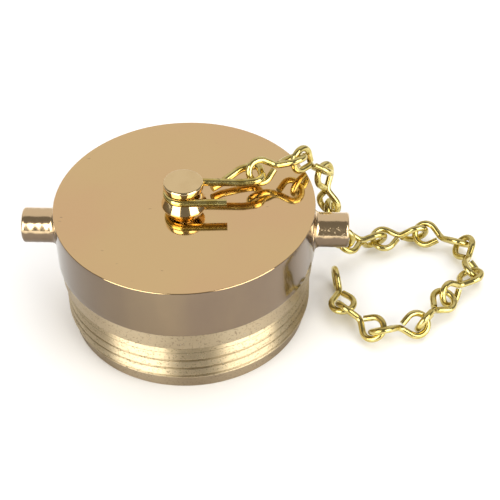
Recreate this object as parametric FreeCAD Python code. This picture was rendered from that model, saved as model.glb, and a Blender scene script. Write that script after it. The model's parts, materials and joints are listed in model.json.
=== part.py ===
import FreeCAD, Part
import math
import os

# Threaded brass blanking plug with two spanner lugs, a grooved chain post, a
# wire hook and a retaining chain of figure-eight wire links.
# Millimetres. The origin is on the plug's axis in the plane of the threaded
# end's face, +Z runs up to the polished cap face and the lugs lie along X.

Vec = FreeCAD.Vector
UP = Vec(0, 0, 1)

# --- cap and threaded end -------------------------------------------------
CAP_R = 40.5
CAP_TOP = 42.4
CAP_THICK = 17.8
CAP_BOTTOM = CAP_TOP - CAP_THICK
CAP_EDGE = 0.35
SHOULDER_R = 39.7
SHOULDER_HEIGHT = 6.0
THREAD_R = 38.95
THREAD_PITCH = 3.387
THREAD_DEPTH = 0.5
THREAD_HALF_WIDTH = 0.36
THREAD_START = 3.4
THREAD_TURNS = 3.4
PILOT_R = 37.6
PILOT_HEIGHT = 5.0

# --- hollow underside -----------------------------------------------------
CAVITY_R = 31.5
CAVITY_DEPTH = 32.0
CAVITY_CORNER = 3.0
BOSS_R = 8.0
BOSS_HEIGHT = 3.2
BOSS_EDGE = 1.0

# --- spanner lugs ---------------------------------------------------------
LUG_R = 5.5
LUG_TIP = 51.0
LUG_ROOT = 36.0
LUG_DROP = 10.2
LUG_EDGE = 0.9
LUG_FILLET_R = 1.6

# --- chain post, screwed into the cap -------------------------------------
POST_COLLAR_R = 7.1
POST_COLLAR_TOP_R = 5.6
POST_COLLAR_H = 3.3
POST_NECK_R = 2.55
POST_HEAD_R = 6.2
POST_HEAD_LOW = 6.3
POST_HEAD_TOP = 8.6
POST_ROUND = 0.5
POST_SHANK_R = 3.95
POST_SHANK_LENGTH = 9.5
POST_SHANK_CHAMFER = 0.6
POST_HOLE_R = 4.0
POST_HOLE_DEPTH = 10.5

# --- wire hook ------------------------------------------------------------
HOOK_WIRE = 2.4
HOOK_RIDE = 4.85
HOOK_TURN = 3.0
HOOK_ROUTE = (
    (13.2, -6.1, 0.0),
    (-5.1, -6.1, 0.0),
    (-5.1, 4.4, 0.0),
    (18.0, 3.2, 0.0),
    (24.6, 4.2, -0.1),
    (23.2, 12.6, -0.2),
    (17.2, 10.6, -0.8),
    (11.4, 6.4, -2.65),
    (8.6, 4.3, -2.95),
)
HOOK_BENDS = (4.9, 4.9, 8.0, 3.0, 2.6, 5.5, 6.0)

# --- chain link -----------------------------------------------------------
LINK_WIRE = 2.1
LINK_BARS = 18.4
LINK_EYE_R = 3.6
LINK_TAIL = 1.4
LINK_WAIST_BEND = 3.0

# --- how the chain lies ---------------------------------------------------
# The slack is the distance from a joint to each of the two bars that cross
# there. One row per link: heading about +Z, climb above level and roll about
# its own length, in degrees.
CHAIN_START = (21.5, 8.5, 47.5)
LINK_SLACK = 1.8
CHAIN = (
    (25, 5, 60),
    (40, -45, -105),
    (-25, -80, 10),
    (-15, -70, -5),
    (30, -20, 25),
    (15, 0, 20),
    (-20, 0, 45),
    (-80, 0, 45),
    (-130, 0, 25),
    (-125, 0, -20),
    (-165, 0, -45),
    (135, 0, -35),
    (100, 0, -5),
)


def revolve(points):
    """A solid turned about the Z axis from a closed outline of (r, z) points."""
    outline = [Vec(r, 0, z) for r, z in points]
    face = Part.Face(Part.makePolygon(outline + outline[:1]))
    return face.revolve(Vec(0, 0, 0), UP, 360)


def ring_edges(solid, radius, height):
    """The circular edges about Z that have this radius and height."""
    found = []
    for edge in solid.Edges:
        curve = edge.Curve
        if not isinstance(curve, Part.Circle):
            continue
        on_axis = math.hypot(curve.Center.x, curve.Center.y) < 1e-6
        if on_axis and abs(curve.Radius - radius) < 1e-6 and abs(curve.Center.z - height) < 1e-6:
            found.append(edge)
    return found


def rounded_wire(points, radii):
    """A path of straight runs joined by tangent arcs, one radius per corner."""
    corners = [Vec(*p) for p in points]
    edges = []
    start = corners[0]
    for before, corner, after, radius in zip(corners, corners[1:], corners[2:], radii):
        back = (before - corner).normalize()
        ahead = (after - corner).normalize()
        turn = math.pi - back.getAngle(ahead)
        cut = radius * math.tan(turn / 2)
        arc_start = corner + back * cut
        arc_end = corner + ahead * cut
        inward = (back + ahead).normalize()
        centre = corner + inward * (radius / math.cos(turn / 2))
        middle = centre - inward * radius
        edges.append(Part.LineSegment(start, arc_start).toShape())
        edges.append(Part.Arc(arc_start, middle, arc_end).toShape())
        start = arc_end
    edges.append(Part.LineSegment(start, corners[-1]).toShape())
    return Part.Wire(edges)


def swept_wire(path, diameter):
    """Round wire of one diameter carried along a path."""
    first = path.OrderedEdges[0]
    start = first.valueAt(first.FirstParameter)
    tangent = first.tangentAt(first.FirstParameter)
    section = Part.Wire(Part.makeCircle(diameter / 2, start, tangent))
    return path.makePipeShell([section], True, False)


def lug(side):
    """One round spanner lug along X, with a rounded tip and a flared root."""
    low = side * LUG_ROOT
    centre = Vec(low, 0, CAP_TOP - LUG_DROP)
    bar = Part.makeCylinder(LUG_R, LUG_TIP - LUG_ROOT, centre, Vec(side, 0, 0))
    rings = [e for e in bar.Edges if isinstance(e.Curve, Part.Circle)]
    tip = [e for e in rings if abs(e.Curve.Center.x) > LUG_TIP - 0.1]
    return bar.makeFillet(LUG_EDGE, tip)


def thread_cutter():
    """A triangular groove section carried up a helix on the thread surface."""
    helix = Part.makeHelix(THREAD_PITCH, THREAD_TURNS * THREAD_PITCH, THREAD_R)
    outside = THREAD_R + THREAD_DEPTH
    slope = THREAD_HALF_WIDTH * 2
    corners = [
        Vec(THREAD_R - THREAD_DEPTH, 0, 0),
        Vec(outside, 0, -slope),
        Vec(outside, 0, slope),
    ]
    section = Part.makePolygon(corners + corners[:1])
    cutter = Part.Wire(helix.Edges).makePipeShell([section], True, True)
    cutter.translate(Vec(0, 0, THREAD_START))
    return cutter


def plug_body():
    """The one-piece casting: cap, shoulder, threaded skirt, lugs and cavity.

    The turned body's seam is set a quarter turn away from the lugs, so that each
    lug meets the rim in one unbroken edge.
    """
    skirt_top = CAP_BOTTOM - SHOULDER_HEIGHT
    body = revolve([
        (0, 0),
        (PILOT_R, 0),
        (PILOT_R, PILOT_HEIGHT),
        (THREAD_R, PILOT_HEIGHT),
        (THREAD_R, skirt_top),
        (SHOULDER_R, skirt_top),
        (SHOULDER_R, CAP_BOTTOM),
        (CAP_R, CAP_BOTTOM),
        (CAP_R, CAP_TOP),
        (0, CAP_TOP),
    ])
    edges = ring_edges(body, CAP_R, CAP_TOP) + ring_edges(body, CAP_R, CAP_BOTTOM)
    body = body.makeFillet(CAP_EDGE, edges)
    body.rotate(Vec(0, 0, 0), UP, 90)
    for side in (-1, 1):
        body = body.fuse(lug(side))
    roots = [e for e in body.Edges if is_lug_root(e)]
    body = body.makeFillet(LUG_FILLET_R, roots)
    body = body.cut(thread_cutter())
    cavity = Part.makeCylinder(CAVITY_R, CAVITY_DEPTH)
    cavity = cavity.makeFillet(CAVITY_CORNER, ring_edges(cavity, CAVITY_R, CAVITY_DEPTH))
    boss = Part.makeCylinder(BOSS_R, BOSS_HEIGHT, Vec(0, 0, CAVITY_DEPTH - BOSS_HEIGHT))
    boss = boss.makeFillet(BOSS_EDGE, ring_edges(boss, BOSS_R, CAVITY_DEPTH - BOSS_HEIGHT))
    body = body.cut(cavity.cut(boss))
    hole = Part.makeCylinder(POST_HOLE_R, POST_HOLE_DEPTH, Vec(0, 0, CAP_TOP - POST_HOLE_DEPTH))
    return body.cut(hole)


def is_lug_root(edge):
    """True for the curve where a lug meets the cap's rim."""
    box = edge.BoundBox
    reach = sorted((abs(box.XMin), abs(box.XMax)))
    on_rim = reach[0] > CAP_R - 1.5 and reach[1] < CAP_R + 0.1
    as_wide = abs(box.YLength - 2 * LUG_R) < 0.2
    return on_rim and as_wide and box.ZLength > LUG_R


def chain_post():
    """The turned post: threaded shank, collar, neck and button head."""
    post = revolve([
        (0, -POST_SHANK_LENGTH),
        (POST_SHANK_R - POST_SHANK_CHAMFER, -POST_SHANK_LENGTH),
        (POST_SHANK_R, POST_SHANK_CHAMFER - POST_SHANK_LENGTH),
        (POST_SHANK_R, 0),
        (POST_COLLAR_R, 0),
        (POST_COLLAR_TOP_R, POST_COLLAR_H),
        (POST_NECK_R, POST_COLLAR_H),
        (POST_NECK_R, POST_HEAD_LOW),
        (POST_HEAD_R, POST_HEAD_LOW),
        (POST_HEAD_R, POST_HEAD_TOP),
        (0, POST_HEAD_TOP),
    ])
    edges = ring_edges(post, POST_HEAD_R, POST_HEAD_TOP)
    edges += ring_edges(post, POST_COLLAR_TOP_R, POST_COLLAR_H)
    post = post.makeFillet(POST_ROUND, edges)
    post.translate(Vec(0, 0, CAP_TOP))
    return post


def wire_hook():
    """The S-shaped hook whose open eye wraps the post's neck."""
    ride = CAP_TOP + HOOK_RIDE
    route = [(x, y, ride + dz) for x, y, dz in HOOK_ROUTE]
    hook = swept_wire(rounded_wire(route, HOOK_BENDS), HOOK_WIRE)
    hook.rotate(Vec(0, 0, 0), UP, HOOK_TURN)
    return hook


def link_path():
    """One link's centre line along X: an eye in XY, the waist, an eye in XZ.

    Each eye is a circle with two tangent sides that meet at the waist. One side
    crosses the waist into the other eye, and the other ends short of it.
    """
    centre = LINK_BARS / 2 - LINK_EYE_R
    spread = math.asin(LINK_EYE_R / centre)
    side = math.sqrt(centre ** 2 - LINK_EYE_R ** 2)
    run, rise = math.cos(spread), math.sin(spread)
    cut = LINK_WAIST_BEND * math.tan(math.acos(run * run) / 2)

    def eye(direction, across):
        tail = direction * (LINK_TAIL * run) - across * (LINK_TAIL * rise)
        low = direction * (side * run) - across * (side * rise)
        tip = direction * (LINK_BARS / 2)
        high = direction * (side * run) + across * (side * rise)
        waist = direction * (cut * run) + across * (cut * rise)
        return tail, low, tip, high, waist

    tail_1, low_1, tip_1, high_1, waist_1 = eye(Vec(-1, 0, 0), Vec(0, 1, 0))
    tail_2, low_2, tip_2, high_2, waist_2 = eye(Vec(1, 0, 0), Vec(0, 0, 1))
    inward = (waist_1 + waist_2).normalize()
    bend_centre = inward * (LINK_WAIST_BEND / math.sin(waist_1.getAngle(waist_2) / 2))
    edges = [
        Part.LineSegment(tail_1, low_1),
        Part.Arc(low_1, tip_1, high_1),
        Part.LineSegment(high_1, waist_1),
        Part.Arc(waist_1, bend_centre - inward * LINK_WAIST_BEND, waist_2),
        Part.LineSegment(waist_2, high_2),
        Part.Arc(high_2, tip_2, low_2),
        Part.LineSegment(low_2, tail_2),
    ]
    return Part.Wire([e.toShape() for e in edges])


def link_axes(heading, climb, roll):
    """The directions of a link's length, first eye and second eye."""
    a, e, r = math.radians(heading), math.radians(climb), math.radians(roll)
    along = Vec(math.cos(e) * math.cos(a), math.cos(e) * math.sin(a), math.sin(e))
    level = Vec(-math.sin(a), math.cos(a), 0)
    upright = along.cross(level)
    first = level * math.cos(r) + upright * math.sin(r)
    return along, first, along.cross(first)


def chain_links():
    """Every link in its place, each hanging in the eye of the one before."""
    link = swept_wire(link_path(), LINK_WIRE)
    joint = Vec(*CHAIN_START)
    links = []
    for heading, climb, roll in CHAIN:
        along, first, second = link_axes(heading, climb, roll)
        middle = joint + along * (LINK_BARS / 2 - LINK_SLACK)
        place = FreeCAD.Matrix(
            along.x, first.x, second.x, middle.x,
            along.y, first.y, second.y, middle.y,
            along.z, first.z, second.z, middle.z,
            0, 0, 0, 1,
        )
        piece = link.copy()
        piece.Placement = FreeCAD.Placement(place)
        links.append(piece)
        joint = joint + along * (LINK_BARS - 2 * LINK_SLACK)
    return links


def main():
    os.makedirs("parts", exist_ok=True)
    nodes = {
        "plug_body": plug_body(),
        "chain_post": chain_post(),
        "wire_hook": wire_hook(),
    }
    for number, link in enumerate(chain_links(), start=1):
        nodes["chain_link_%02d" % number] = link
    for name, shape in nodes.items():
        shape.exportStep("parts/%s.step" % name)


main()
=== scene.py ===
import json
import math

import bmesh
import bpy
import numpy as np
from mathutils import Matrix, Vector


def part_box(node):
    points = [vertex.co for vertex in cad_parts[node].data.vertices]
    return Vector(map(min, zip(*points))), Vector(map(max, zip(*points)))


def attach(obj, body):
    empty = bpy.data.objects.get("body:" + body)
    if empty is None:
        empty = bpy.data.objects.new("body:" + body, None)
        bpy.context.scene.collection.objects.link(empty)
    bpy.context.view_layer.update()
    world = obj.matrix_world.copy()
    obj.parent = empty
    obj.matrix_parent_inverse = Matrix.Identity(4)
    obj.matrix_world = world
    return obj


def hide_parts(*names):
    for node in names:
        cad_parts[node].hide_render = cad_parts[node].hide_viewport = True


# A brass hose plug on a pale studio floor. Metres throughout. The plug and its
# post are surfaces worked out here, round ones lathed and the lugs flared; the
# hook and the chain links keep their solid shapes and get drawn-wire finishes.

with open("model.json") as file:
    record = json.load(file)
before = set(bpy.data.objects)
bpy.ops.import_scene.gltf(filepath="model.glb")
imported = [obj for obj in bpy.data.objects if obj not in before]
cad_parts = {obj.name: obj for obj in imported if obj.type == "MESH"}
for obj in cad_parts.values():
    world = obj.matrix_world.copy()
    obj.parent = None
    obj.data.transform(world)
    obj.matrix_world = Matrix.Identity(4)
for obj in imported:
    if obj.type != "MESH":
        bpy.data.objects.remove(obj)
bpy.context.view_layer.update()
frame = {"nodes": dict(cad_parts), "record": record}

MM = 0.001
TURN = 2 * math.pi


def mount(name):
    """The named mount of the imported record."""
    return next(m for m in frame["record"]["mounts"] if m["name"] == name)


# --- sizes read from the frame, from the boxes' upper corners ---------------
plug_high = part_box("plug_body")[1]
post_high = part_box("chain_post")[1]
CAP_R = plug_high[1]
CAP_TOP = plug_high[2]
LUG_TIP = plug_high[0]
LUG_R = mount("lug_right")["dims"]["r_mm"] * MM
LUG_Z = mount("lug_right")["pos_m"][2]
PILOT_R = mount("end_pilot")["dims"]["r_mm"] * MM
PILOT_TOP = mount("end_pilot")["dims"]["length_mm"] * MM
THREAD_R = mount("hose_thread")["dims"]["r_mm"] * MM
THREAD_TOP = PILOT_TOP + mount("hose_thread")["dims"]["length_mm"] * MM
POST_TOP = post_high[2]
COLLAR_R = post_high[0]

# --- the plug's details ----------------------------------------------------
SHOULDER_R = THREAD_R + 0.75 * MM
RIM_LOW = THREAD_TOP + 6.0 * MM
CAVITY_R = 31.5 * MM
CAVITY_TOP = CAP_TOP - 10.4 * MM
BOSS_R = 8.0 * MM
BOSS_LOW = CAVITY_TOP - 3.2 * MM
THREAD_PITCH = 3.387 * MM
THREAD_DEPTH = 0.45 * MM
THREAD_HALF_WIDTH = 0.36 * MM
THREAD_FLAT = 0.15             # half widths of full depth in the groove's floor
THREAD_FADE = 0.08             # turns over which the groove's ends die out
THREAD_FOOT = 0.3 * MM         # no groove is cut lower than this
THREAD_TILT = math.tan(math.radians(31))
THREAD_START = 3.4 * MM
THREAD_TURNS = 3.4
LUG_ROOT = CAP_R - 3 * MM
LUG_FLARE = 1.6 * MM
LUG_EDGE = 0.9 * MM
LUG_SEAM = 0.27                # height of the casting seam, in lug radii; the painted shade lies below it
CAST_SWELL = 0.025 * MM
RIPPLE_ALONG = 1.9 / MM        # radians of ripple per metre along a lug
RIPPLE_TWIST = 0.7 / MM

# --- the post's details, heights above the cap face ------------------------
COLLAR_H = 3.3 * MM
COLLAR_TOP_R = 5.6 * MM
NECK_R = 2.55 * MM
HEAD_R = 6.2 * MM
HEAD_LOW = 6.3 * MM

# --- the view: a long lens in front of the plug, a little to one side -------
VIEW_TURN = math.radians(3.0)
VIEW_CLIMB = math.radians(42.6)
VIEW_ROLL = math.radians(-1.05)
VIEW_DISTANCE = 0.4547
VIEW_TARGET = Vector((0.020, 0.0, 0.022))
VIEW_LENS = 103.0
VIEW_SENSOR = 36.0
FLOOR_R = 3.0


# --- shapes ----------------------------------------------------------------
ARC_STEPS = 6
MERGE_GAP = 1e-7


def profile(corners):
    """Points along straight runs with their corners rounded.

    Each corner is (r, z, radius, step): the arc's centre lies on the corner's
    bisector at radius / sin(half the corner angle), and the run that follows is
    divided into steps no longer than step.
    """
    points = [np.array(c[:2]) for c in corners]
    path = [points[0][None]]
    here = points[0]
    for i in range(1, len(corners)):
        step = corners[i - 1][3]
        if i == len(corners) - 1:
            enter = points[i]
        else:
            back = points[i - 1] - points[i]
            ahead = points[i + 1] - points[i]
            back /= np.linalg.norm(back)
            ahead /= np.linalg.norm(ahead)
            half = math.acos(float(np.clip(back @ ahead, -1, 1))) / 2
            enter = points[i] + back * corners[i][2] / math.tan(half)
        count = max(int(np.linalg.norm(enter - here) / step), 1)
        path.append(here + (enter - here) * (np.arange(1, count + 1) / count)[:, None])
        here = enter
        if i < len(corners) - 1 and corners[i][2] > 0:
            bisector = (back + ahead) / np.linalg.norm(back + ahead)
            centre = points[i] + bisector * corners[i][2] / math.sin(half)
            leave = points[i] + ahead * corners[i][2] / math.tan(half)
            first, last = here - centre, leave - centre
            sweep = math.pi - 2 * half
            t = np.linspace(0, 1, ARC_STEPS + 1)[1:, None]
            arc = (np.sin((1 - t) * sweep) * first + np.sin(t * sweep) * last) / math.sin(sweep)
            path.append(centre + arc)
            here = leave
    return np.concatenate(path)


def lathe(outline, count):
    """A grid of rows of an (r, z) outline by count angles round the Z axis."""
    angle = np.arange(count) * TURN / count
    r = outline[:, 0][:, None]
    z = np.broadcast_to(outline[:, 1][:, None], (len(outline), count))
    return np.stack([r * np.cos(angle), r * np.sin(angle), z], -1)


def grid_faces(rows, columns, start=0):
    """Quads between neighbouring rows, each row joined round on itself."""
    i = np.arange(rows - 1)[:, None]
    j = np.arange(columns)[None, :]
    k = (j + 1) % columns
    here, above = i * columns, (i + 1) * columns
    quads = np.stack([here + j, here + k, above + k, above + j], -1)
    return quads.reshape(-1, 4) + start


def solid(name, grids, materials, finish_of=None):
    """One mesh object from closed grids, poles merged, faces turned outwards.

    finish_of gives each face's material index from the faces' centres.
    """
    points, faces, start = [], [], 0
    for grid in grids:
        rows, columns = grid.shape[:2]
        points.append(grid.reshape(-1, 3))
        faces.append(grid_faces(rows, columns, start))
        start += rows * columns
    points, faces = np.concatenate(points), np.concatenate(faces)
    mesh = bpy.data.meshes.new(name)
    mesh.from_pydata(points.tolist(), [], faces.tolist())
    work = bmesh.new()
    work.from_mesh(mesh)
    bmesh.ops.remove_doubles(work, verts=work.verts, dist=MERGE_GAP)
    bmesh.ops.recalc_face_normals(work, faces=work.faces)
    work.to_mesh(mesh)
    work.free()
    for material in materials:
        mesh.materials.append(material)
    if finish_of is not None:
        centre = np.empty(len(mesh.polygons) * 3)
        mesh.polygons.foreach_get("center", centre)
        mesh.polygons.foreach_set("material_index", finish_of(centre.reshape(-1, 3)))
    mesh.polygons.foreach_set("use_smooth", np.ones(len(mesh.polygons), bool))
    mesh.update()
    piece = bpy.data.objects.new(name, mesh)
    bpy.context.scene.collection.objects.link(piece)
    return piece


def cut_thread(grid):
    """Presses a right-hand helical groove into the threaded wall.

    The helix is z = start + pitch * turns. The depth is full on the groove's flat
    floor, falls off linearly over the half width beside it, and fades out at both
    ends of the helix.
    """
    x, y, z = grid[..., 0], grid[..., 1], grid[..., 2]
    r = np.hypot(x, y)
    turned = np.mod(np.arctan2(y, x), TURN) / TURN
    along = (z - THREAD_START) / THREAD_PITCH - turned
    nearest = np.clip(np.round(along), 0, math.floor(THREAD_TURNS))
    offset = np.abs(along - nearest) * THREAD_PITCH
    from_end = np.minimum(nearest + turned, THREAD_TURNS - nearest - turned)
    ends = np.clip(from_end / THREAD_FADE, 0, 1)
    depth = THREAD_DEPTH * np.clip(1 + THREAD_FLAT - offset / THREAD_HALF_WIDTH, 0, 1) * ends
    outside = r > PILOT_R - 0.01 * MM
    depth = np.where(outside & (z < THREAD_TOP) & (z > THREAD_FOOT), depth, 0)
    shrink = 1 - depth / np.maximum(r, MM)
    grid[..., 0] *= shrink
    grid[..., 1] *= shrink
    return grid


def plug_shell():
    """The turned casting as one closed outline, from the cap's centre round the
    rim and threaded skirt, over the end face and up the cavity to its roof."""
    fine, coarse = 0.2 * MM, 2.0 * MM
    outline = profile([
        (0, CAP_TOP, 0, 4 * coarse),
        (CAP_R, CAP_TOP, 0.35 * MM, coarse),
        (CAP_R, RIM_LOW, 0.75 * MM, coarse),
        (SHOULDER_R, RIM_LOW, 0.2 * MM, coarse),
        (SHOULDER_R, THREAD_TOP, 0.35 * MM, coarse),
        (THREAD_R, THREAD_TOP, 0.15 * MM, fine),
        (THREAD_R, PILOT_TOP, 0.3 * MM, fine),
        (PILOT_R, PILOT_TOP, 0.3 * MM, fine),
        (PILOT_R, 0, 0.2 * MM, coarse),
        (CAVITY_R, 0, 0.4 * MM, coarse),
        (CAVITY_R, CAVITY_TOP, 3.0 * MM, coarse),
        (BOSS_R, CAVITY_TOP, 0.6 * MM, coarse),
        (BOSS_R, BOSS_LOW, 1.0 * MM, coarse),
        (0, BOSS_LOW, 0, coarse),
    ])
    return cut_thread(lathe(outline, 288))


def lug_surface(side):
    """A round lug along X that flares into the rim and rounds over at its tip.

    Each band of rows is a pair (x, r), from inside the rim out to the tip's
    centre. The flare adds a quarter circle that dies out at its own radius from
    the rim's cylinder, and the tip's edge is a quarter circle too. The cast skin
    is waved by a product of two sines, one along the lug and one round it.
    """
    turns = 96
    around = np.arange(turns) * TURN / turns
    rim = np.sqrt(CAP_R ** 2 - (LUG_R * np.sin(around)) ** 2)[None]
    out = np.linspace(-0.4 * MM, LUG_FLARE, 14)[:, None]
    flare_r = LUG_R + LUG_FLARE - np.sqrt(LUG_FLARE ** 2 - (LUG_FLARE - out.clip(0)) ** 2)
    along = np.linspace(0, 1, 60)[1:-1, None]
    edge = np.sin(np.linspace(0, math.pi / 2, 9))[:, None]
    edge_x = LUG_TIP - LUG_EDGE
    edge_r = LUG_R - LUG_EDGE
    bands = [
        (LUG_ROOT, 0.0),
        (rim + out, flare_r),
        ((rim + LUG_FLARE) * (1 - along) + edge_x * along, LUG_R),
        (edge_x + LUG_EDGE * edge, edge_r + LUG_EDGE * np.sqrt(1 - edge ** 2)),
        (LUG_TIP, np.linspace(edge_r, 0, 12)[1:, None]),
    ]
    rows = [np.broadcast_arrays(*band, rim)[:2] for band in bands]
    x, r = (np.concatenate(part) for part in zip(*rows))
    ripple = np.sin(RIPPLE_ALONG * x + 2 * np.cos(around) + side)
    ripple = ripple * np.sin(3 * around + RIPPLE_TWIST * x)
    inside = np.clip((x - CAP_R) / MM - 1, 0, 1) * np.clip((edge_x - x) / MM, 0, 1)
    r = r - CAST_SWELL * (1 + ripple) * inside
    return np.stack([side * x, -r * np.sin(around), LUG_Z + r * np.cos(around)], -1)


def post_surface():
    """The turned post: coned collar, waisted neck and rounded button head."""
    base, fine = CAP_TOP, 0.4 * MM
    outline = profile([
        (0, POST_TOP, 0, fine),
        (HEAD_R, POST_TOP, 0.9 * MM, fine),
        (HEAD_R, base + HEAD_LOW, 0.3 * MM, fine),
        (NECK_R, base + HEAD_LOW, 0.3 * MM, fine),
        (NECK_R, base + COLLAR_H, 0.3 * MM, fine),
        (COLLAR_TOP_R, base + COLLAR_H, 0.8 * MM, fine),
        (COLLAR_R, base, 0.15 * MM, fine),
        (0, base, 0, fine),
    ])
    return lathe(outline, 160)


# --- finishes --------------------------------------------------------------
class Signal:
    """A node socket that takes arithmetic, each operation a Math node."""

    def __init__(self, finish, socket):
        self.finish = finish
        self.socket = socket

    def _math(self, operation, first, second):
        settings = {"operation": operation}
        return self.finish.node("ShaderNodeMath", settings, {0: first, 1: second})

    def __add__(self, other):
        return self._math("ADD", self, other)

    __radd__ = __add__

    def __sub__(self, other):
        return self._math("SUBTRACT", self, other)

    def __rsub__(self, other):
        return self._math("SUBTRACT", other, self)

    def __mul__(self, other):
        return self._math("MULTIPLY", self, other)

    __rmul__ = __mul__

    def __truediv__(self, other):
        return self._math("DIVIDE", self, other)

    def __rtruediv__(self, other):
        return self._math("DIVIDE", other, self)


class Finish:
    """A material being built: its nodes, and the shapes that finishes share."""

    def __init__(self, name):
        self.material = bpy.data.materials.new(name)
        self.material.use_nodes = True
        self.tree = self.material.node_tree
        self.shader = self.tree.nodes["Principled BSDF"]
        self.place = self.node("ShaderNodeTexCoord", {}, {}, "Object")

    def node(self, kind, settings, inputs, output=0):
        """Adds a node, sets its settings first, then its sockets, and gives one
        of its outputs."""
        made = self.tree.nodes.new(kind)
        for key, value in settings.items():
            setattr(made, key, value)
        for key, value in inputs.items():
            self.put(made.inputs[key], value)
        return Signal(self, made.outputs[output])

    def put(self, socket, value):
        """Links a signal to a socket, or sets the socket's own value."""
        if isinstance(value, Signal):
            self.tree.links.new(value.socket, socket)
        elif socket.type == "RGBA":
            socket.default_value = (*value, 1.0)
        else:
            socket.default_value = value

    def stretched(self, scale):
        """Object coordinates scaled along each axis."""
        return self.node("ShaderNodeMapping", {}, {"Vector": self.place, "Scale": scale})

    def noise(self, scale, detail=3.0, at=None, rough=0.5):
        """Cloudy noise from 0 to 1, scale in features per metre."""
        inputs = {"Vector": at or self.place, "Scale": scale, "Detail": detail, "Roughness": rough}
        return self.node("ShaderNodeTexNoise", {}, inputs)

    def step(self, value, low, high):
        """A smooth rise from 0 to 1 as value goes from low to high."""
        settings = {"interpolation_type": "SMOOTHSTEP"}
        inputs = {"Value": value, "From Min": low, "From Max": high}
        return self.node("ShaderNodeMapRange", settings, inputs)

    def blend(self, factor, first, second):
        """Mixes two colours, on the colour sockets of a Mix node."""
        inputs = {"Factor": factor, 6: first, 7: second}
        return self.node("ShaderNodeMix", {"data_type": "RGBA"}, inputs, 2)

    def axis(self, letter):
        """One of the object coordinates."""
        return self.node("ShaderNodeSeparateXYZ", {}, {0: self.place}, letter)

    def relief(self, height, depth, **over):
        """A bump whose height signal spans depth metres, laid over another bump
        where one is given as Normal."""
        inputs = {"Height": height, "Distance": depth, **over}
        return self.node("ShaderNodeBump", {}, inputs)

    def finish(self, colour, roughness, normal=None, metallic=1.0, **values):
        """Feeds the shader and gives the material."""
        self.put(self.shader.inputs["Base Color"], colour)
        self.put(self.shader.inputs["Roughness"], roughness)
        self.put(self.shader.inputs["Metallic"], metallic)
        if normal is not None:
            self.put(self.shader.inputs["Normal"], normal)
        for name, value in values.items():
            self.shader.inputs[name].default_value = value
        return self.material


# --- colours of the brass ----------------------------------------------------
BRASS_BRIGHT = (0.82, 0.60, 0.31)
BRASS_WARM = (0.82, 0.57, 0.31)
BRASS_BROWN = (0.30, 0.225, 0.14)
BRASS_GREY = (0.215, 0.16, 0.115)
# the pits' colour, also used as painted shade along the thread's groove
BRASS_PITS_AND_GROOVE_SHADE = (0.20, 0.145, 0.075)
# painted shade: the colour that darkens the rim towards -X
RIM_SHADE = (0.115, 0.088, 0.068)
RIM_SPECK = (0.16, 0.12, 0.08)
SKIRT_PALE = (0.60, 0.50, 0.33)
SKIRT_DEEP = (0.52, 0.41, 0.255)
# painted highlight: the colour of the skirt's bright glints
SKIRT_PAINTED_GLINT = (0.95, 0.86, 0.66)
LUG_BRIGHT = (0.80, 0.61, 0.37)
# painted shade: the colour of the lugs' lower side
LUG_PAINTED_SHADE = (0.21, 0.155, 0.105)
LUG_PIT = (0.26, 0.19, 0.11)
LUG_SEAM_BROWN = (0.17, 0.11, 0.06)
INSIDE_PALE = (0.44, 0.33, 0.18)
INSIDE_DEEP = (0.30, 0.22, 0.12)
POST_PALE = (0.86, 0.67, 0.37)
POST_DEEP = (0.82, 0.63, 0.34)
WIRE_PALE = (0.74, 0.63, 0.25)
HOOK_DEEP = (0.60, 0.46, 0.13)
LINK_DEEP = (0.57, 0.46, 0.14)
WIRE_TARNISH = (0.17, 0.12, 0.03)
FLOOR_GREY = (0.90, 0.90, 0.90)
FLOOR_WHITE = (0.93, 0.93, 0.93)

# turning marks run round the part, so they spread light along its axis
TURNED = {"Anisotropic": 0.9, "Anisotropic Rotation": 0.25}


def polished_face():
    """Mirror brass with faint warm clouds, polishing haze and stray nicks."""
    f = Finish("polished_face")
    clouds = f.step(f.noise(28, 2), 0.35, 0.65)
    haze = f.noise(160, 5)
    nicks = f.step(f.noise(420, 1, f.stretched((1, 2.6, 1))), 0.785, 0.81)
    colour = f.blend(clouds, BRASS_BRIGHT, BRASS_WARM)
    colour = f.blend(nicks * 0.45, colour, BRASS_BROWN)
    roughness = 0.045 + haze * 0.05 + nicks * 0.2
    height = f.noise(55, 2) * 0.9 - nicks
    return f.finish(colour, roughness, f.relief(height, 0.006 * MM))


def satin_rim():
    """The rim: duller brown brass, turned round, greyer in soft patches, with painted shade
    towards -X."""
    f = Finish("satin_rim")
    clouds = f.step(f.noise(34, 4, f.stretched((1, 1, 0.35))), 0.3, 0.7)
    turning = f.noise(9000, 2, f.stretched((0.02, 0.02, 1)))
    specks = f.step(f.noise(900, 2), 0.72, 0.78)
    # painted shade: the rim darkens towards -X
    side = 1 - f.step(f.axis("X"), -CAP_R, CAP_R * 0.2)
    colour = f.blend(clouds, BRASS_BROWN, BRASS_GREY)
    colour = f.blend(side * 0.75, colour, RIM_SHADE)
    colour = f.blend(specks * 0.5, colour, RIM_SPECK)
    roughness = 0.07 + clouds * 0.05 + turning * 0.03
    return f.finish(colour, roughness, f.relief(turning - specks * 2, 0.004 * MM))


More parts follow.
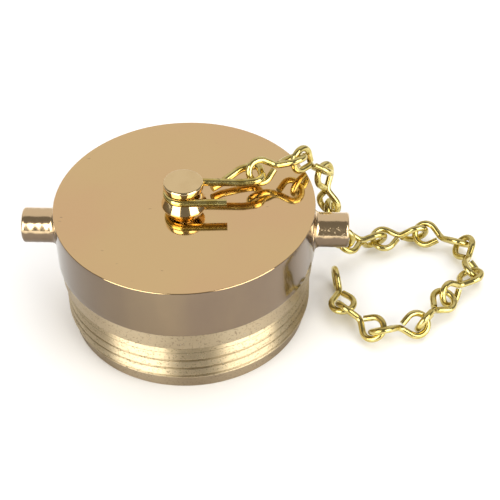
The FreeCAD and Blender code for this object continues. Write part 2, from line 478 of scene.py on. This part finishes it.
def turned_skirt():
    """The threaded skirt: turned brass with cast pits showing through, painted glints of
    highlight, and painted shade along the thread's groove.

    Between its cuts the thread leans back like the teeth of a saw: the height
    falls by the tilt along each pitch of the helix and jumps back at the cut.
    The pilot below the thread and the shoulder above it are greyer.
    """
    f = Finish("turned_skirt")
    z = f.axis("Z")
    angle = f.node("ShaderNodeMath", {"operation": "ARCTAN2"}, {0: f.axis("Y"), 1: f.axis("X")})
    turns = (z - THREAD_START) / THREAD_PITCH - angle / TURN
    tooth = f.node("ShaderNodeMath", {"operation": "FRACT"}, {0: turns})
    fade = 0.4 * MM
    above_pilot = f.step(z, PILOT_TOP, PILOT_TOP + fade)
    threaded = above_pilot * (1 - f.step(z, THREAD_TOP - fade, THREAD_TOP))
    pilot = 1 - f.step(z, PILOT_TOP - fade, PILOT_TOP)
    shoulder = f.step(z, THREAD_TOP - MM, THREAD_TOP)
    # the line of the thread's cut, darkened below with painted shade
    cut = 1 - f.step(tooth, 0.0, 0.05) * (1 - f.step(tooth, 0.95, 1.0))
    turning = f.noise(5200, 3, f.stretched((0.015, 0.015, 1)))
    clouds = f.step(f.noise(60, 4), 0.3, 0.7)
    grain = f.noise(1500, 3)
    pits = f.step(grain, 0.56, 0.66)
    # small bright specks of painted highlight
    painted_glints = f.step(f.noise(1500, 1), 0.68, 0.74)
    colour = f.blend(clouds * 0.6, SKIRT_PALE, SKIRT_DEEP)
    colour = f.blend(pits * 0.85, colour, BRASS_PITS_AND_GROOVE_SHADE)
    colour = f.blend(painted_glints * 0.7, colour, SKIRT_PAINTED_GLINT)
    colour = f.blend(pilot * 0.62 + shoulder * 0.35, colour, BRASS_GREY)
    # painted shade along the thread's groove
    colour = f.blend(cut * threaded * 0.8, colour, BRASS_PITS_AND_GROOVE_SHADE)
    roughness = 0.33 + clouds * 0.06 + pits * 0.1
    lean = f.relief((1 - tooth) * threaded, THREAD_PITCH * THREAD_TILT)
    grit = f.relief(turning * 0.5 + grain * 0.4 - pits * 1.6, 0.014 * MM, Normal=lean)
    return f.finish(colour, roughness, grit, **TURNED)


def cast_lug():
    """The lugs: fettled casting, bright above a ragged seam, rougher below it and darkened there
    with painted shade. The skin just above the seam is pitted, more so towards +X."""
    f = Finish("cast_lug")
    wander = f.noise(330, 3, f.stretched((1, 0.2, 0.2)))
    height = (f.axis("Z") - LUG_Z) / LUG_R + (wander - 0.5) * 0.35
    # below the seam the lug is rougher, and its colour is darkened with painted shade
    dull = 1 - f.step(height, LUG_SEAM - 0.08, LUG_SEAM + 0.04)
    above_seam = f.step(height, LUG_SEAM + 0.02, LUG_SEAM + 0.07)
    seam = f.step(height, LUG_SEAM - 0.05, LUG_SEAM) * (1 - above_seam)
    rough_skin = f.noise(1100, 5, rough=0.65)
    patch = f.step(f.noise(170, 2), 0.50, 0.62) * seam
    pitted_band = f.step(height, 0.1, 0.4) * (1 - f.step(height, 0.7, 0.9))
    pits = f.step(rough_skin, 0.58, 0.66) * pitted_band * f.step(f.axis("X"), 0.0, LUG_TIP)
    # painted shade on the lower side of the lug
    colour = f.blend(dull, LUG_BRIGHT, LUG_PAINTED_SHADE)
    colour = f.blend(pits * 0.55, colour, LUG_PIT)
    colour = f.blend(seam * 0.3 + patch * 0.6, colour, LUG_SEAM_BROWN)
    roughness = 0.17 + dull * 0.12 + pits * 0.25
    relief = f.relief(rough_skin * 0.25 - pits - seam, 0.012 * MM)
    return f.finish(colour, roughness, relief)


def cast_inside():
    """The cavity: sand-cast skin, grainy and dull."""
    f = Finish("cast_inside")
    grain = f.noise(1400, 6, rough=0.7)
    clouds = f.noise(50, 4)
    colour = f.blend(f.step(clouds, 0.3, 0.7), INSIDE_PALE, INSIDE_DEEP)
    return f.finish(colour, 0.48 + grain * 0.2, f.relief(grain, 0.12 * MM))


def turned_post():
    """The post: bright turned brass with fine rings and a little haze."""
    f = Finish("turned_post")
    rings = f.noise(6500, 2, f.stretched((0.02, 0.02, 1)))
    clouds = f.noise(240, 3)
    colour = f.blend(f.step(clouds, 0.35, 0.7), POST_PALE, POST_DEEP)
    return f.finish(colour, 0.06 + clouds * 0.05 + rings * 0.03, f.relief(rings, 0.003 * MM))


def drawn_wire(name, pale, deep):
    """Drawn brass wire: die streaks, yellow patches, tarnish and small nicks."""
    f = Finish(name)
    patches = f.step(f.noise(300, 3), 0.36, 0.64)
    streaks = f.noise(2600, 3)
    tarnish = f.step(f.noise(520, 4, rough=0.6), 0.56, 0.72)
    nicks = f.step(f.noise(1900, 1), 0.76, 0.80)
    colour = f.blend(patches, pale, deep)
    colour = f.blend(tarnish * 0.5, colour, WIRE_TARNISH)
    roughness = 0.13 + streaks * 0.09 + tarnish * 0.14
    relief = f.relief(streaks * 0.6 - nicks * 1.5, 0.018 * MM)
    return f.finish(colour, roughness, relief)


def pale_floor():
    """Matt white studio floor with the faintest unevenness."""
    f = Finish("pale_floor")
    tone = f.blend(f.noise(3, 2), FLOOR_GREY, FLOOR_WHITE)
    return f.finish(tone, 0.75, metallic=0.0)


# --- the plug and the post --------------------------------------------------
FACE, RIM, SKIRT, LUG, INSIDE = range(5)
RIM_EDGE = RIM_LOW - 0.1 * MM
FACE_EDGE = CAP_TOP - 0.2 * MM
SKIRT_INNER_R = PILOT_R - 1.2 * MM
RIM_INNER_R = SHOULDER_R - 0.3 * MM
LUG_START_R = CAP_R + 0.02 * MM
LUG_REACH_R = LUG_R + LUG_FLARE + MM


def plug_finish(centre):
    """Which finish a face of the plug takes, from where the face lies. A later
    rule overrules the ones before it."""
    r = np.hypot(centre[:, 0], centre[:, 1])
    z = centre[:, 2]
    off_axis = np.hypot(centre[:, 1], z - LUG_Z)
    index = np.full(len(centre), INSIDE, dtype=np.int32)
    index[(z < RIM_EDGE) & (r > SKIRT_INNER_R)] = SKIRT
    index[(z > RIM_EDGE) & (r > RIM_INNER_R)] = RIM
    index[z > FACE_EDGE] = FACE
    index[(r > LUG_START_R) & (off_axis < LUG_REACH_R)] = LUG
    return index


plug = solid(
    "plug",
    [plug_shell(), lug_surface(1), lug_surface(-1)],
    [polished_face(), satin_rim(), turned_skirt(), cast_lug(), cast_inside()],
    plug_finish,
)
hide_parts("plug_body")
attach(plug, "plug")

post = solid("post", [post_surface()], [turned_post()])
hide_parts("chain_post")
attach(post, "plug")

# --- the hook and the links -------------------------------------------------
hook_wire = drawn_wire("hook_wire", WIRE_PALE, HOOK_DEEP)
link_wire = drawn_wire("link_wire", WIRE_PALE, LINK_DEEP)
for node_name, node in frame["nodes"].items():
    if node_name.startswith("chain_link"):
        node.material_slots[0].material = link_wire
frame["nodes"]["wire_hook"].material_slots[0].material = hook_wire


# --- the studio -------------------------------------------------------------
PANEL_CREAM = (1.0, 0.97, 0.90)
WALL_ROSE = (1.0, 0.94, 0.91)
FILL_BLUE = (0.94, 0.97, 1.0)
ROOM_GREY = (0.30, 0.28, 0.26, 1)
ROOM_STRENGTH = 0.6


def studio_floor():
    """A flat round floor that runs well past the view."""
    rings = np.array([(0.0, 0.0), (FLOOR_R, 0.0)])
    floor = solid("floor", [lathe(rings, 64)], [pale_floor()])


def panel(name, turn, climb, distance, width, height, power, colour, mirrored=True):
    """A soft rectangular lamp that faces the plug, distance, width and height in
    metres and power in watts. turn is measured from the camera's side about Z
    and climb above the floor, in degrees. An unmirrored lamp lights the scene
    and doesn't show in polished metal."""
    lamp = bpy.data.lights.new(name, "AREA")
    lamp.shape = "RECTANGLE"
    lamp.size = width
    lamp.size_y = height
    lamp.energy = power
    lamp.color = colour
    holder = bpy.data.objects.new(name, lamp)
    a, e = math.radians(turn) + VIEW_TURN, math.radians(climb)
    direction = Vector((math.sin(a) * math.cos(e), -math.cos(a) * math.cos(e), math.sin(e)))
    holder.location = direction * distance
    holder.rotation_euler = direction.to_track_quat("Z", "Y").to_euler()
    holder.visible_glossy = mirrored
    holder.visible_camera = False
    bpy.context.scene.collection.objects.link(holder)


def studio_lights():
    """Two tall front panels, a broad pale wall behind, and a top fill."""
    panel("left_panel", -41, 26, 1.0, 0.78, 0.85, 8.5, PANEL_CREAM)
    panel("right_panel", 50, 26, 1.0, 0.78, 0.85, 8.5, PANEL_CREAM)
    panel("back_wall", 180, 42, 1.6, 4.2, 2.6, 19, WALL_ROSE)
    panel("top_fill", 150, 75, 1.5, 1.8, 1.8, 17, FILL_BLUE, mirrored=False)
    world = bpy.data.worlds.new("studio")
    world.use_nodes = True
    background = world.node_tree.nodes["Background"]
    background.inputs["Color"].default_value = ROOM_GREY
    background.inputs["Strength"].default_value = ROOM_STRENGTH
    bpy.context.scene.world = world


def studio_camera():
    """The camera looks down at the plug from its front."""
    turn = Matrix.Rotation(VIEW_TURN, 4, "Z")
    back = Vector((0, -math.cos(VIEW_CLIMB), math.sin(VIEW_CLIMB)))
    right = Vector((1, 0, 0))
    up = back.cross(right)
    rolled_right = right * math.cos(VIEW_ROLL) + up * math.sin(VIEW_ROLL)
    rolled_up = up * math.cos(VIEW_ROLL) - right * math.sin(VIEW_ROLL)
    axes = Matrix((rolled_right, rolled_up, back)).transposed().to_4x4()
    stand = Matrix.Translation(VIEW_TARGET + back * VIEW_DISTANCE)
    camera = bpy.data.objects.new("camera", bpy.data.cameras.new("camera"))
    camera.data.lens = VIEW_LENS
    camera.data.sensor_width = VIEW_SENSOR
    camera.data.clip_start = 0.01
    camera.matrix_world = turn @ stand @ axes
    bpy.context.scene.collection.objects.link(camera)
    bpy.context.scene.camera = camera


studio_floor()
studio_lights()
studio_camera()
bpy.context.scene.view_settings.view_transform = "Standard"
